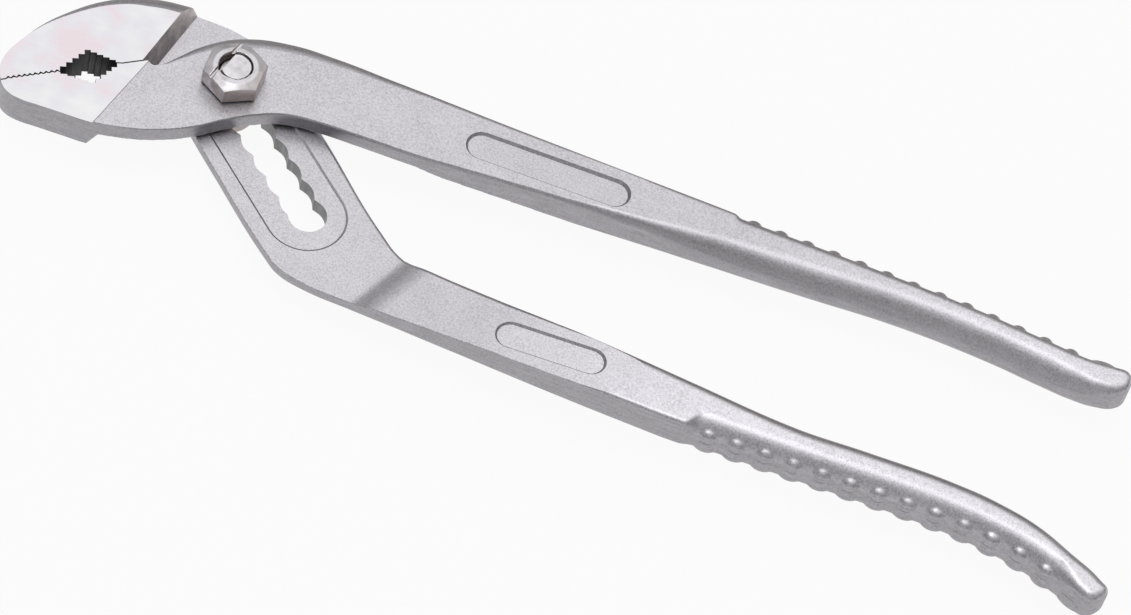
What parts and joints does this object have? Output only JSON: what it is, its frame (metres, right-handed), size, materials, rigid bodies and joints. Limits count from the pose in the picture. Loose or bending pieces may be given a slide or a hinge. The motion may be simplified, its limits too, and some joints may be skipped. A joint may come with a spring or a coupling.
{
  "type": "water pump pliers",
  "caption": "Slip-joint water pump pliers: two plated steel arms cross on a bolt and nut that shift along a scalloped slot, with toothed jaws and bumped grips.",
  "frame": {"origin": "centre of the flat back of the pivot bolt's head, on the pivot axis; the tool lies on it with z = 0 as the bench", "axes": "+X along the tool from the jaws towards the handle ends, +Z along the pivot axis from the bolt's head towards the nut"},
  "size_m": [0.2506, 0.0655, 0.0162],
  "materials": {
    "satin_plating_rear": "satin nickel plating on forged steel, jaw ground bright",
    "satin_plating_front": "satin nickel plating on forged steel, jaw ground bright",
    "bolt_plating": "bright plating on turned steel",
    "nut_plating": "bright plating on a turned and faced steel nut"
  },
  "bodies": {
    "slotted_arm": {"slotted_arm": "satin_plating_rear"},
    "pivot": {"pivot_bolt": "bolt_plating", "pivot_nut": "nut_plating"},
    "bolted_arm": {"bolted_arm": "satin_plating_front"}
  },
  "joints": [
    {"name": "slot_shift", "type": "slide", "parent": "slotted_arm", "child": "pivot", "axis": [0.7361, -0.6769, 0], "range_m": [0, 0.0339]},
    {"name": "jaw_pivot", "type": "hinge", "parent": "pivot", "child": "bolted_arm", "pos_m": [0, 0, 0.0073], "axis": [0, 0, 1], "range_deg": [0, 50]}
  ]
}
